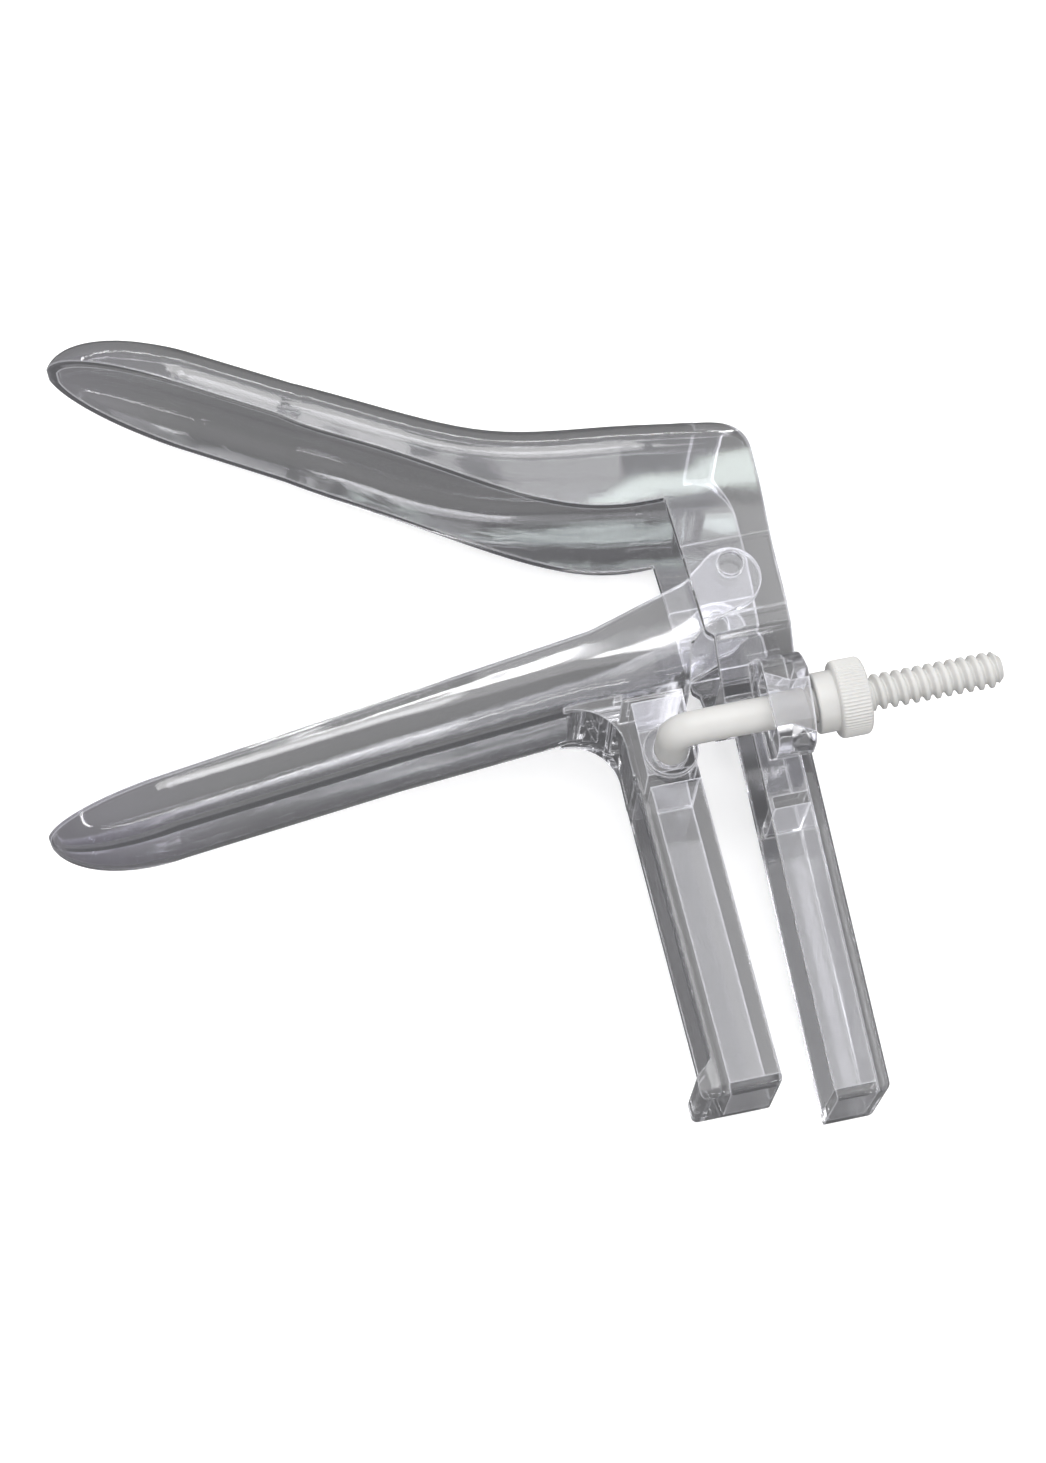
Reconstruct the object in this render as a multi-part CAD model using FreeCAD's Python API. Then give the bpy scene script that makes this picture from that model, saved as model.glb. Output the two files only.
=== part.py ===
import FreeCAD, Part
import math
import os

# Bivalve speculum with a side screw, clear moulded plastic with a white rod and nut.
# It lies on its side: X runs from the blade tips to the user, Y from the handles up
# to the upper blade, Z from the resting side up to the screw side, in millimetres.
# The origin is on the hinge axis, on the outer face of the lower side pad.
# The two mouldings are mirror images of themselves about the plane Z = MID.

V = FreeCAD.Vector

# Driving dimensions.
PAD_SPAN = 32.0          # over the two hinge pads, across the frame
PAD_RAISE = 0.4          # pads stand proud of the plates by this
SIDE_GAP = 0.3           # between an ear and the plate beside it
WALL = 1.9               # blade, frame and handle walls
LIFT = 1.5               # a hollow is cut this far past the rim it opens at
OVERLAP = 0.5            # features run this far into each other before they are joined

UPPER_ANGLE = 30.2       # upper blade rises from the X axis, degrees
UPPER_LENGTH = 119.8     # hinge axis to the upper tip
UPPER_WIDTH = 28.4       # outside, along the straight stretch
UPPER_RIM = 2.0          # the rim line passes this far above the hinge axis
UPPER_DEPTH = 7.8        # rim to back, near the tip
UPPER_SWELL = 1.6        # extra depth where the blade meets the hood
UPPER_FLARE = 0.6        # extra half width there
UPPER_SAG = 0.7          # its rim hangs this far below its line there
UPPER_TAPER = 24.0       # length over which the upper tip narrows
UPPER_SCOOP = 25.0       # length over which its floor rises to its rim
LOWER_ANGLE = 8.2        # lower blade drops from the X axis, degrees
LOWER_LENGTH = 116.6     # hinge axis to the lower tip
LOWER_RIM = 2.5          # the rim line passes this far below the hinge axis
LOWER_DEPTH = 7.6        # rim to back, near the tip
LOWER_SWELL = 2.9        # extra depth a quarter of the way along
MOUTH_RIM = 7.8          # mouth of the lower blade ahead of the hinge axis, at its rim
MOUTH_BACK = 12.4        # and at its back
MOUTH_DEPTH = 13.2       # rim to back at the mouth
LOWER_TAPER = 19.8       # length over which the lower tip narrows
LOWER_SCOOP = 19.0       # length over which its floor rises to its rim
TIP_FLOOR = 0.35         # depth left at the very tip
TIP_STEPS = [0, 14, 28, 41, 53, 64, 74, 82]  # sections of a tip, as degrees round its ellipse
CORNER = 6.5             # outer radius between a blade's back and its walls

HOOD_TOP = 27.4          # back of the hood above the hinge axis
HOOD_FALL = 0.15         # the hood's back falls towards the user by this slope
HOOD_RIM = 13.2          # lower edge of the hood above the hinge axis
HOOD_STEPS = [(17.0, 15.5, 0.6, 0.2), (27.5, 25.0, 4.3, 0.7)]  # rim, back, rim rise, narrowing
FRAME_FRONT = 7.8        # frame plate ahead of the hinge axis
FRAME_BACK = 7.9         # frame plate behind the hinge axis, at the top
FRAME_FOOT = 6.4         # its lower end ahead of the hinge axis
PAD_BACK = 7.3           # and behind it beside the hinge
TOP_ROUND = 7.6          # corner of the hood towards the user
TOP_DROP = 1.1           # that corner lies this far below the hood's back
SHOULDER_Y = 11.5        # plates turn inwards this far below the hinge axis
SHOULDER_LAP = 0.7       # and meet the rear handle this far above the foot of the bar
SHOULDER_ROUND = 2.0
BAR_FOOT = 21.2          # foot of the bar under the viewing opening
BAR_DEPTH = 3.7
ARM_FRONT = 5.3          # the bar ahead of the hinge axis
ARM_BACK = 6.8

STUD_D = 4.0             # hinge studs on the ears
STUD_FIT = 0.08          # radial running clearance of the studs
STUD_SHY = 0.1           # stud ends stay this far inside the pads
EAR_R = 5.1              # rounded end of an ear
EAR_U = 0.7              # its centre, along the lower blade from the hinge
EAR_V = -1.8             # and off it
PAD_TOP = 4.2            # hinge pad above and below the axis
PAD_FOOT = 8.5

GRIP_WIDTH = 19.4        # both handles, across
GRIP_EDGE = 0.7          # rounding of the handles' long edges
FRONT_GRIP_X = 22.35      # face of the front handle ahead of the hinge axis
FRONT_GRIP_DEPTH = 10.45
FRONT_GRIP_END = 82.9    # end of the front handle below the hinge axis
FRONT_LEAN = 1.4         # its lower end lies this much nearer the user
LEAN_START = 30.0        # the lean starts this far below the hinge axis
FRONT_FACE_WALL = 2.4
TOE = 2.5                # lip at the end of the front handle
TOE_HEIGHT = 3.6
END_ROUND = 1.6          # rounding of the front handle's end, near and far
SHELF = 30.2             # floor of the hollow for the hook, below the hinge axis
THROAT_R = 8.4           # hollow between the lower blade and the front handle
THROAT_Y = 17.3
REAR_GRIP_X = 2.0        # open face of the rear handle ahead of the hinge axis
REAR_GRIP_DEPTH = 8.6
REAR_GRIP_END = 87.2
REAR_LEAN = 1.1          # its lower end lies this much further from the user
REAR_RIB = 38.6          # cross rib inside the rear handle, below the hinge axis
RIB_SHY = 0.6            # the rib stays this far inside the open face

ROD_D = 5.4              # smooth shank of the rod
THREAD_D = 5.8           # over the thread crests
ROD_X = -15.6            # axis of the rod's hooked end
ROD_Y = -27.2            # axis of the shank
ROD_OUT = 19.4           # shank axis from the middle plane
ROD_TIP = 36.9
TIP_BEVEL = 0.8
THREAD_START = 4.6
PEG_REACH = 4.0          # hooked end stops this far from the middle plane
PEG_FIT = 0.10           # radial clearance of the hooked end
BEND_R = 3.2             # centre line of the rod's bend
PEG_BOSS_D = 8.8        # ring round the hole for the hooked end
PEG_BOSS = 1.2           # it stands out of the handle by this

EYE_LENGTH = 6.7         # along the rod
EYE_X = 2.7              # middle of the eye
EYE_FOOT = 6.8           # underside below the rod's axis
EYE_TOP = 7.4            # top above the rod's axis, at its outer corner
EYE_CROWN = 9.2          # and over the rod
EYE_ROOT = 11.2          # and where it leaves the frame
EYE_LEAN = 0.3           # its face towards the nut leans out by this at the top
EYE_TUCK = 0.8           # and in by this at the foot
EYE_WALL = 1.5
EYE_SLACK = 0.6          # room above and below the rod
EYE_SIDE_FIT = 0.2       # room beside the rod
EYE_RISE = 2.6           # the underside rises by this to the handle's side
CLOSE_TILT = 28.0        # the rod tilts in the eye by this when the blades are shut

HUB_D = 9.7
HUB_LENGTH = 3.2
HUB_BEVEL = 0.4
KNOB_D = 12.4
KNOB_LENGTH = 5.0
KNOB_ROUND = 0.9
NUT_FIT = 0.10           # radial clearance on the thread
NUT_GAP = 0.6            # between the eye and the hub

MID = PAD_SPAN / 2
PLATE_OUT = MID - PAD_RAISE
PLATE_IN = PLATE_OUT - WALL
EAR_OUT = PLATE_IN - SIDE_GAP
EAR_IN = EAR_OUT - WALL
GRIP_HALF = GRIP_WIDTH / 2
GRIP_IN = GRIP_HALF - WALL
BAR_TOP = BAR_FOOT - BAR_DEPTH
SHOULDER_END = BAR_FOOT - SHOULDER_LAP
FRONT_GRIP_BACK = -FRONT_GRIP_X + FRONT_GRIP_DEPTH
REAR_GRIP_BACK = -REAR_GRIP_X + REAR_GRIP_DEPTH


def blade_point(angle_deg, rise, along, off):
    """A point of a blade's side view: along it from the hinge, then off it, upwards."""
    a = math.radians(angle_deg) * rise
    return (-along * math.cos(a) + off * math.sin(a), along * math.sin(a) + off * math.cos(a))


def section(rim, back, half, radius, lift=0.0):
    """One cross-section of a channel: walls from the rim to a back with round corners.

    rim and back are (x, y) in the side view, and lift raises the open side past the rim.
    """
    depth = math.hypot(back[0] - rim[0], back[1] - rim[1])
    down = ((back[0] - rim[0]) / depth, (back[1] - rim[1]) / depth)
    r = min(radius, 0.92 * half, 0.85 * depth)

    def at(across, deep):
        return V(rim[0] + down[0] * deep, rim[1] + down[1] * deep, MID + across)

    c = r * (1 - math.sqrt(0.5))
    edges = [
        Part.LineSegment(at(half, -lift), at(half, depth - r)).toShape(),
        Part.Arc(at(half, depth - r), at(half - c, depth - c), at(half - r, depth)).toShape(),
        Part.LineSegment(at(half - r, depth), at(r - half, depth)).toShape(),
        Part.Arc(at(r - half, depth), at(c - half, depth - c), at(-half, depth - r)).toShape(),
        Part.LineSegment(at(-half, depth - r), at(-half, -lift)).toShape(),
        Part.LineSegment(at(-half, -lift), at(half, -lift)).toShape(),
    ]
    return Part.Wire(edges)


def tip_share(along, length, reach):
    """Share of the full size left at a distance along a blade whose end is an ellipse."""
    t = (along - (length - reach)) / reach
    return math.sqrt(max(1 - t * t, 0.0)) if t > 0 else 1.0


def tip_stations(length, taper):
    """Distances along a blade at which sections are taken, closer towards the tip."""
    return [length - taper * (1 - math.sin(math.radians(step))) for step in TIP_STEPS]


def blade_sections(angle, rise, length, taper, scoop, rim_off, sizes, inset):
    """Sections of the straight stretch and the rounded tip, inset by a wall or by nothing.

    sizes gives the half width, the depth and the rim's sag at distances along the blade.
    """
    end = length - inset
    wires = []
    stations = [along for along in sizes if along < end - taper - LIFT] + tip_stations(end, taper)
    known = sorted(sizes)
    for along in stations:
        half, deep, sag = sizes[known[-1]]
        for a, b in zip(known, known[1:]):
            if a <= along <= b:
                share = (along - a) / (b - a)
                half, deep, sag = [p + (q - p) * share for p, q in zip(sizes[a], sizes[b])]
        half = (half - inset) * tip_share(along, end, taper)
        deep = max((deep - inset) * tip_share(along, end, scoop), TIP_FLOOR)
        rim = blade_point(angle, rise, along, rim_off - sag)
        back = blade_point(angle, rise, along, rim_off + rise * deep)
        wires.append(section(rim, back, half, CORNER - inset, LIFT if inset else 0.0))
    return wires


def bar(x0, x1, y0, y1, w0, w1):
    """A rectangular block between two values on each axis, the last from the middle plane."""
    return Part.makeBox(x1 - x0, y1 - y0, w1 - w0, V(x0, y0, MID + w0))


def mirrored(shape):
    return shape.fuse(shape.mirror(V(0, 0, MID), V(0, 0, 1)))


def pin(x, y, diameter, w0, w1):
    return Part.makeCylinder(diameter / 2, w1 - w0, V(x, y, MID + w0), V(0, 0, 1))


def clean(shape):
    shape = shape.removeSplitter()
    return shape.Solids[0] if len(shape.Solids) == 1 else shape


def outline(corners):
    """A closed wire in the side view from (x, y) or (x, y, radius) corners."""
    edges = []
    joins = []
    count = len(corners)
    for i, corner in enumerate(corners):
        here = V(corner[0], corner[1], 0)
        if len(corner) == 2:
            joins.append((here, here, None))
            continue
        before = corners[i - 1]
        after = corners[(i + 1) % count]
        a = (V(before[0], before[1], 0) - here).normalize()
        b = (V(after[0], after[1], 0) - here).normalize()
        half = a.getAngle(b) / 2
        reach = corner[2] / math.tan(half)
        centre = here + (a + b).normalize() * (corner[2] / math.sin(half))
        middle = centre + (here - centre).normalize() * corner[2]
        joins.append((here + a * reach, here + b * reach, middle))
    for i, (start, end, middle) in enumerate(joins):
        if middle is not None:
            edges.append(Part.Arc(start, middle, end).toShape())
        edges.append(Part.LineSegment(end, joins[(i + 1) % count][0]).toShape())
    return Part.Wire(edges)


def side_solid(corners, low, high):
    """A side view outline made solid between two distances from the middle plane."""
    face = Part.Face(outline(corners))
    face.translate(V(0, 0, MID + low))
    return face.extrude(V(0, 0, high - low))


def end_solid(corners, x0, x1):
    """An outline seen along X, as (distance from the middle plane, y), made solid."""
    face = Part.Face(outline(corners))
    face.rotate(V(0, 0, 0), V(0, 1, 0), -90)
    face.translate(V(x0, 0, MID))
    return face.extrude(V(x1 - x0, 0, 0))


def both_sides(corners):
    """The corners of one side of an outline seen along X, then their mirror images."""
    return corners + [(-corner[0],) + corner[1:] for corner in reversed(corners)]


def channel(wires, breaks):
    """A solid through sections, flat and smooth by turns between the sections numbered."""
    stretches = []
    for i, (first, last) in enumerate(zip(breaks, breaks[1:])):
        stretches.append(Part.makeLoft(wires[first:last + 1], True, i % 2 == 0))
    return stretches[0].fuse(stretches[1:])


def lower_channel():
    """Lower blade: a channel that deepens towards its mouth, with a rounded tip."""
    middle = (LOWER_DEPTH + LOWER_SWELL + MOUTH_DEPTH) / 2
    sizes = {
        30.0: (EAR_OUT, LOWER_DEPTH + LOWER_SWELL, 0),
        60.0: (EAR_OUT, LOWER_DEPTH + 0.4 * LOWER_SWELL, 0),
        LOWER_LENGTH - LOWER_TAPER: (EAR_OUT, LOWER_DEPTH, 0),
    }

    def stretch(inset):
        wires = []
        for rim_u, back_u, deep, past in [
            (MOUTH_RIM, MOUTH_BACK, MOUTH_DEPTH, 3.0 if inset else 0.0), (19.0, 21.0, middle, 0.0),
        ]:
            rim = blade_point(LOWER_ANGLE, -1, rim_u - past, -LOWER_RIM)
            back = blade_point(LOWER_ANGLE, -1, back_u - past, -LOWER_RIM - deep + inset)
            wires.append(section(rim, back, EAR_OUT - inset, CORNER - inset, LIFT if inset else 0.0))
        wires += blade_sections(
            LOWER_ANGLE, -1, LOWER_LENGTH, LOWER_TAPER, LOWER_SCOOP, -LOWER_RIM, sizes, inset
        )
        return channel(wires, [0, len(wires) - len(TIP_STEPS), len(wires) - 1])

    return stretch(0.0).cut(stretch(WALL))


def ear():
    """The screw side ear of the lower blade, with its hinge stud."""
    top = [(27.0, -LOWER_RIM - 0.3), (23.0, -2.2), (7.9, 0.15), (5.8, 1.1)]
    top.append((EAR_U + 0.36 * EAR_R, EAR_V + 0.93 * EAR_R))
    foot = [(EAR_U + 0.1 * EAR_R, EAR_V - 0.99 * EAR_R), (7.5, -8.0), (9.6, -9.6), (13.0, -9.6), (27.0, -7.0)]
    corners = [blade_point(LOWER_ANGLE, -1, u, v) for u, v in top + foot]
    body = side_solid(corners, EAR_IN, EAR_OUT)
    centre = blade_point(LOWER_ANGLE, -1, EAR_U, EAR_V)
    body = body.fuse(pin(centre[0], centre[1], 2 * EAR_R, EAR_IN, EAR_OUT))
    return body.fuse(pin(0, 0, STUD_D, EAR_IN, MID - STUD_SHY))


def front_grip():
    """Front handle: a channel open towards the user, with a hollow for the rod's hook."""
    face = -FRONT_GRIP_X
    back = FRONT_GRIP_BACK
    low_face = face + FRONT_LEAN
    low_back = back + FRONT_LEAN
    body = side_solid([
        (face, -THROAT_Y), (face, -LEAN_START), (low_face, -FRONT_GRIP_END),
        (low_back, -FRONT_GRIP_END, 1.0), (back, -LEAN_START), (back + 0.4, -THROAT_Y),
    ], -GRIP_HALF, GRIP_HALF)
    edges = [e for e in body.Edges if e.BoundBox.XMax < low_face + 0.01 and e.BoundBox.YLength > 5]
    body = body.makeFillet(GRIP_EDGE, edges)
    inner = face + FRONT_FACE_WALL
    body = body.cut(side_solid([
        (inner, -SHELF - WALL), (low_face + FRONT_FACE_WALL, -FRONT_GRIP_END + WALL),
        (low_back + 5, -FRONT_GRIP_END + WALL), (low_back + 5, -SHELF - WALL),
    ], -GRIP_IN, GRIP_IN))
    body = body.cut(bar(inner, back + 5, -SHELF, -THROAT_Y - OVERLAP, -GRIP_IN, GRIP_IN))
    toe = side_solid([
        (low_face + OVERLAP, -FRONT_GRIP_END + TOE_HEIGHT + TOE),
        (low_face - TOE, -FRONT_GRIP_END + TOE_HEIGHT, 1.2), (low_face - TOE, -FRONT_GRIP_END, 1.2),
        (low_face + OVERLAP, -FRONT_GRIP_END),
    ], -GRIP_HALF, GRIP_HALF)
    web = side_solid([
        (face + 2 * OVERLAP, -LEAN_START), (face + 2 * OVERLAP, -THROAT_Y + 1.0),
        (face - THROAT_R, -THROAT_Y + 0.8), (face - THROAT_R, -THROAT_Y),
        (face, -THROAT_Y, 0.97 * THROAT_R), (face, -LEAN_START),
    ], -GRIP_HALF, GRIP_HALF)
    rounded_end = end_solid(both_sides([
        (GRIP_HALF, 0.0), (GRIP_HALF, -FRONT_GRIP_END, END_ROUND),
    ]), face - THROAT_R - 1, back + 5)
    body = body.fuse(toe).fuse(web).common(rounded_end)
    body = body.fuse(pin(ROD_X, ROD_Y, PEG_BOSS_D, GRIP_HALF - OVERLAP, GRIP_HALF + PEG_BOSS))
    return body.cut(pin(ROD_X, ROD_Y, ROD_D + 2 * PEG_FIT, GRIP_IN - 1, GRIP_HALF + PEG_BOSS + 1))


def lower_blade_front_handle():
    """Lower blade, its ears with the hinge studs, and the front handle: one clear moulding."""
    return lower_channel().fuse(mirrored(ear())).fuse(front_grip())


def upper_channel():
    """Upper blade, widening and deepening into the hood over the viewing opening."""
    half = UPPER_WIDTH / 2
    sizes = {
        48.0: (half + UPPER_FLARE, UPPER_DEPTH + UPPER_SWELL, UPPER_SAG),
        64.0: (half + 0.4 * UPPER_FLARE, UPPER_DEPTH + 0.4 * UPPER_SWELL, 0.5 * UPPER_SAG),
        78.0: (half + 0.1 * UPPER_FLARE, UPPER_DEPTH + 0.1 * UPPER_SWELL, 0),
        UPPER_LENGTH - UPPER_TAPER: (half, UPPER_DEPTH, 0),
    }

    def stretch(inset):
        wires = []
        back_x = FRAME_BACK + (2.0 if inset else 0.0)
        steps = [(-back_x, -back_x, 0.0, 0.0), (FRAME_FRONT, FRAME_FRONT, 0.0, 0.0)] + HOOD_STEPS
        for rim_x, top_x, rise, narrowing in steps:
            rim = (-rim_x, HOOD_RIM + rise)
            top = (-top_x, HOOD_TOP + HOOD_FALL * top_x)
            depth = math.hypot(top[0] - rim[0], top[1] - rim[1])
            k = (depth - inset) / depth
            back = (rim[0] + (top[0] - rim[0]) * k, rim[1] + (top[1] - rim[1]) * k)
            half = PLATE_OUT - narrowing - inset
            wires.append(section(rim, back, half, CORNER - inset, LIFT if inset else 0.0))
        wires += blade_sections(
            UPPER_ANGLE, 1, UPPER_LENGTH, UPPER_TAPER, UPPER_SCOOP, UPPER_RIM, sizes, inset
        )
        return channel(wires, [0, 1, 6, len(wires) - len(TIP_STEPS), len(wires) - 1])

    return stretch(0.0).cut(stretch(WALL))


def frame():
    """The plates beside the viewing opening, the shoulders and the bar under the opening."""
    top = HOOD_RIM + 2.0
    ring = end_solid(both_sides([
        (PLATE_OUT, top), (PLATE_OUT, -SHOULDER_Y, SHOULDER_ROUND),
        (GRIP_HALF, -SHOULDER_END, SHOULDER_ROUND), (GRIP_HALF, -BAR_FOOT),
    ]), -MID, MID)
    slope = (PLATE_OUT - GRIP_HALF) / (SHOULDER_END - SHOULDER_Y)
    arm = WALL * math.hypot(1, slope)
    foot = PLATE_OUT - arm - slope * (BAR_TOP - SHOULDER_Y)
    knee = SHOULDER_Y + (arm - WALL) / slope
    opening = end_solid(both_sides([(PLATE_IN, top + 1), (PLATE_IN, -knee, 1.5), (foot, -BAR_TOP, 1.0)]), -MID, MID)
    knee_y = -SHOULDER_Y + SHOULDER_ROUND / 2
    lean = (FRAME_FRONT - FRAME_FOOT) / (HOOD_RIM - knee_y)
    profile = side_solid([
        (-FRAME_FRONT, top), (-FRAME_FRONT, HOOD_RIM), (-FRAME_FOOT, knee_y, 0.8),
        (-ARM_FRONT, knee_y - 1.0, 0.8), (-ARM_FRONT, -BAR_FOOT), (ARM_BACK, -BAR_FOOT),
        (PAD_BACK, -PAD_FOOT), (PAD_BACK, 0.0), (FRAME_BACK, HOOD_RIM), (FRAME_BACK, top),
    ], -MID, MID)
    body = ring.cut(opening).common(profile)
    pad = side_solid([
        (-FRAME_FRONT + lean * (HOOD_RIM - PAD_TOP), PAD_TOP),
        (-FRAME_FRONT + lean * (HOOD_RIM + PAD_FOOT), -PAD_FOOT), (PAD_BACK, -PAD_FOOT), (PAD_BACK, PAD_TOP),
    ], PLATE_OUT - OVERLAP, MID)
    body = body.fuse(mirrored(pad))
    return body.cut(pin(0, 0, STUD_D + 2 * STUD_FIT, -MID - 1, MID + 1))


def rear_grip():
    """Rear handle: a channel open towards the front handle, with a rib across it."""
    low_front = -REAR_GRIP_X - REAR_LEAN
    low_back = REAR_GRIP_BACK - REAR_LEAN
    body = side_solid([
        (-REAR_GRIP_X, -BAR_FOOT + OVERLAP), (low_front, -REAR_GRIP_END),
        (low_back, -REAR_GRIP_END, 1.4), (REAR_GRIP_BACK, -BAR_FOOT + OVERLAP),
    ], -GRIP_HALF, GRIP_HALF)
    edges = [e for e in body.Edges if e.BoundBox.XMin > low_back - 0.01 and e.BoundBox.YLength > 20]
    body = body.makeFillet(GRIP_EDGE, edges)
    body = body.cut(side_solid([
        (low_front - 1, -BAR_FOOT), (low_front - 1, -REAR_GRIP_END + WALL),
        (low_back - WALL, -REAR_GRIP_END + WALL), (REAR_GRIP_BACK - WALL, -BAR_FOOT),
    ], -GRIP_IN, GRIP_IN))
    rib = bar(
        -REAR_GRIP_X + RIB_SHY, REAR_GRIP_BACK - WALL + OVERLAP, -REAR_RIB - WALL / 2, -REAR_RIB + WALL / 2,
        -GRIP_IN - OVERLAP, GRIP_IN + OVERLAP,
    )
    return body.fuse(rib)


def eye():
    """The eye on the rear handle that the rod passes through, before its hole is cut."""
    low = ROD_Y - EYE_FOOT
    out = ROD_OUT + THREAD_D / 2 + EYE_SIDE_FIT + EYE_WALL
    front = EYE_X - EYE_LENGTH / 2
    back = EYE_X + EYE_LENGTH / 2
    body = end_solid([
        (GRIP_IN + OVERLAP, -SHOULDER_END), (GRIP_IN + 3.4, ROD_Y + EYE_ROOT),
        (ROD_OUT, ROD_Y + EYE_CROWN, 4.0), (out, ROD_Y + EYE_TOP, 2.5), (out, low, 4.0),
        (GRIP_HALF + 6.6, low, 3.0), (GRIP_IN + OVERLAP, low + EYE_RISE),
    ], front - 1, back + 1)
    side = side_solid([
        (front, low - 1), (front, ROD_Y + EYE_ROOT + 1, 1.5), (back - 1.2, ROD_Y + EYE_ROOT + 1, 1.5),
        (back + EYE_LEAN, ROD_Y + 4.6, 2.0), (back - EYE_TUCK, low - 1),
    ], 0, out + 1)
    return body.common(side)


def eye_hole():
    """The rod's way through the eye, flared at two corners for the tilt of the rod."""
    r = THREAD_D / 2
    tilt = math.radians(CLOSE_TILT)
    reach = EYE_LENGTH / 2 + 0.6
    flat = r + EYE_SLACK
    wide = r / math.cos(tilt) + reach * math.tan(tilt) + EYE_SLACK
    turn = (r / math.cos(tilt) - r) / math.tan(tilt)
    corners = [
        (EYE_X - reach, ROD_Y + wide), (EYE_X + turn, ROD_Y + flat), (EYE_X + reach, ROD_Y + flat),
        (EYE_X + reach, ROD_Y - wide), (EYE_X - turn, ROD_Y - flat), (EYE_X - reach, ROD_Y - flat),
    ]
    return side_solid(corners, ROD_OUT - r - EYE_SIDE_FIT, ROD_OUT + r + EYE_SIDE_FIT)


def upper_blade_rear_handle():
    """Upper blade, hood, frame, rear handle and eye: one clear moulding."""
    body = upper_channel().fuse(frame()).fuse(rear_grip()).fuse(eye())
    centre_x = FRAME_BACK - TOP_ROUND
    centre_y = HOOD_TOP - TOP_DROP - TOP_ROUND
    corner = bar(centre_x, FRAME_BACK + 5, centre_y, HOOD_TOP + 5, -MID - 1, MID + 1)
    corner = corner.cut(pin(centre_x, centre_y, 2 * TOP_ROUND, -MID - 2, MID + 2))
    return body.cut(corner).cut(eye_hole())


def screw_rod():
    """The rod: a hooked end, a smooth shank and a threaded length, here at its crests."""
    z_shank = MID + ROD_OUT
    bend_x = ROD_X + BEND_R
    c = BEND_R * (1 - math.sqrt(0.5))
    path = Part.Wire([
        Part.LineSegment(V(ROD_X, ROD_Y, MID + PEG_REACH), V(ROD_X, ROD_Y, z_shank - BEND_R)).toShape(),
        Part.Arc(
            V(ROD_X, ROD_Y, z_shank - BEND_R), V(ROD_X + c, ROD_Y, z_shank - c), V(bend_x, ROD_Y, z_shank)
        ).toShape(),
        Part.LineSegment(V(bend_x, ROD_Y, z_shank), V(THREAD_START + 1, ROD_Y, z_shank)).toShape(),
    ])
    ring = Part.Wire(Part.Circle(V(ROD_X, ROD_Y, MID + PEG_REACH), V(0, 0, 1), ROD_D / 2).toShape())
    shank = path.makePipeShell([ring], True, False)
    r = THREAD_D / 2
    ramp = (THREAD_D - ROD_D) / 2
    half = [
        (THREAD_START, 0), (THREAD_START, ROD_D / 2), (THREAD_START + 2 * ramp, r),
        (ROD_TIP - TIP_BEVEL, r), (ROD_TIP, r - TIP_BEVEL), (ROD_TIP, 0),
    ]
    face = Part.Face(Part.makePolygon([V(x, y, 0) for x, y in half + half[:1]]))
    thread = face.revolve(V(0, 0, 0), V(1, 0, 0), 360)
    thread.translate(V(0, ROD_Y, z_shank))
    return shank.fuse(thread)


def knurled_nut():
    """The nut: a smooth hub against the eye and a wider gripping head, bored through."""
    start = EYE_X + EYE_LENGTH / 2 + NUT_GAP
    step = start + HUB_LENGTH
    end = step + KNOB_LENGTH
    bore = THREAD_D / 2 + NUT_FIT
    hub = HUB_D / 2
    knob = KNOB_D / 2
    corners = [
        (start, bore), (start, hub, HUB_BEVEL), (step, hub), (step, knob, KNOB_ROUND),
        (end, knob, KNOB_ROUND), (end, bore),
    ]
    body = Part.Face(outline(corners)).revolve(V(0, 0, 0), V(1, 0, 0), 360)
    body.translate(V(0, ROD_Y, MID + ROD_OUT))
    return body


NODES = {
    "lower_blade_front_handle": lower_blade_front_handle,
    "upper_blade_rear_handle": upper_blade_rear_handle,
    "screw_rod": screw_rod,
    "knurled_nut": knurled_nut,
}

os.makedirs("parts", exist_ok=True)
for name, make in NODES.items():
    shape = clean(make())
    box = shape.BoundBox
    print(name, shape.isValid(), len(shape.Solids), round(shape.Volume, 1))
    print("  x %.1f %.1f  y %.1f %.1f  z %.1f %.1f" % (box.XMin, box.XMax, box.YMin, box.YMax, box.ZMin, box.ZMax))
    shape.exportStep("parts/" + name + ".step")
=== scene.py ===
# %% [markdown]
# # A clear plastic bivalve speculum
# The object is two clear mouldings hinged on each other, held open by a white rod and
# a white nut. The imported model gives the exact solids. This lesson dresses them: it
# sets up the photographer's table, makes a moulded plastic that looks right from every
# side, and puts a threaded rod and a ridged nut in the place of the plain ones.

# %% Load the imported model
import math

import bpy
import numpy as np
from mathutils import Matrix


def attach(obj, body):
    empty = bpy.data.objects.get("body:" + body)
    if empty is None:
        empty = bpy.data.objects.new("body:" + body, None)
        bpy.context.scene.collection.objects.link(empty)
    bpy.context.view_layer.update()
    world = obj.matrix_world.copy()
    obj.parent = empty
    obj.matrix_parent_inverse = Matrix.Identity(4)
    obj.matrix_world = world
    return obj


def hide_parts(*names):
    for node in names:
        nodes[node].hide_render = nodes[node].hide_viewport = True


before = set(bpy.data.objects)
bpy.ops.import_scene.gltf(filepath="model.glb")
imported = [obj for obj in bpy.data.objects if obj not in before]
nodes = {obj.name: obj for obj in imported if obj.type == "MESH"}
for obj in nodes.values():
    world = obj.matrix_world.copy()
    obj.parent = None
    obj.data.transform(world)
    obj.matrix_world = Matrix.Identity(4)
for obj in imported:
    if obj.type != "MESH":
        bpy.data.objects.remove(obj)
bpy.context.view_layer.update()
MM = 0.001                  # a millimetre in metres
for name, node in sorted(nodes.items()):
    print(name, "triangles:", len(node.data.polygons))

# %% [markdown]
# ## The camera
# The photograph was taken from above the object, which lies on its side, with a long
# lens. A camera is an object with a place and three axes: right, up and backwards.
# Writing the three axes as the columns of a matrix is the surest way to aim it.

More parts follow.
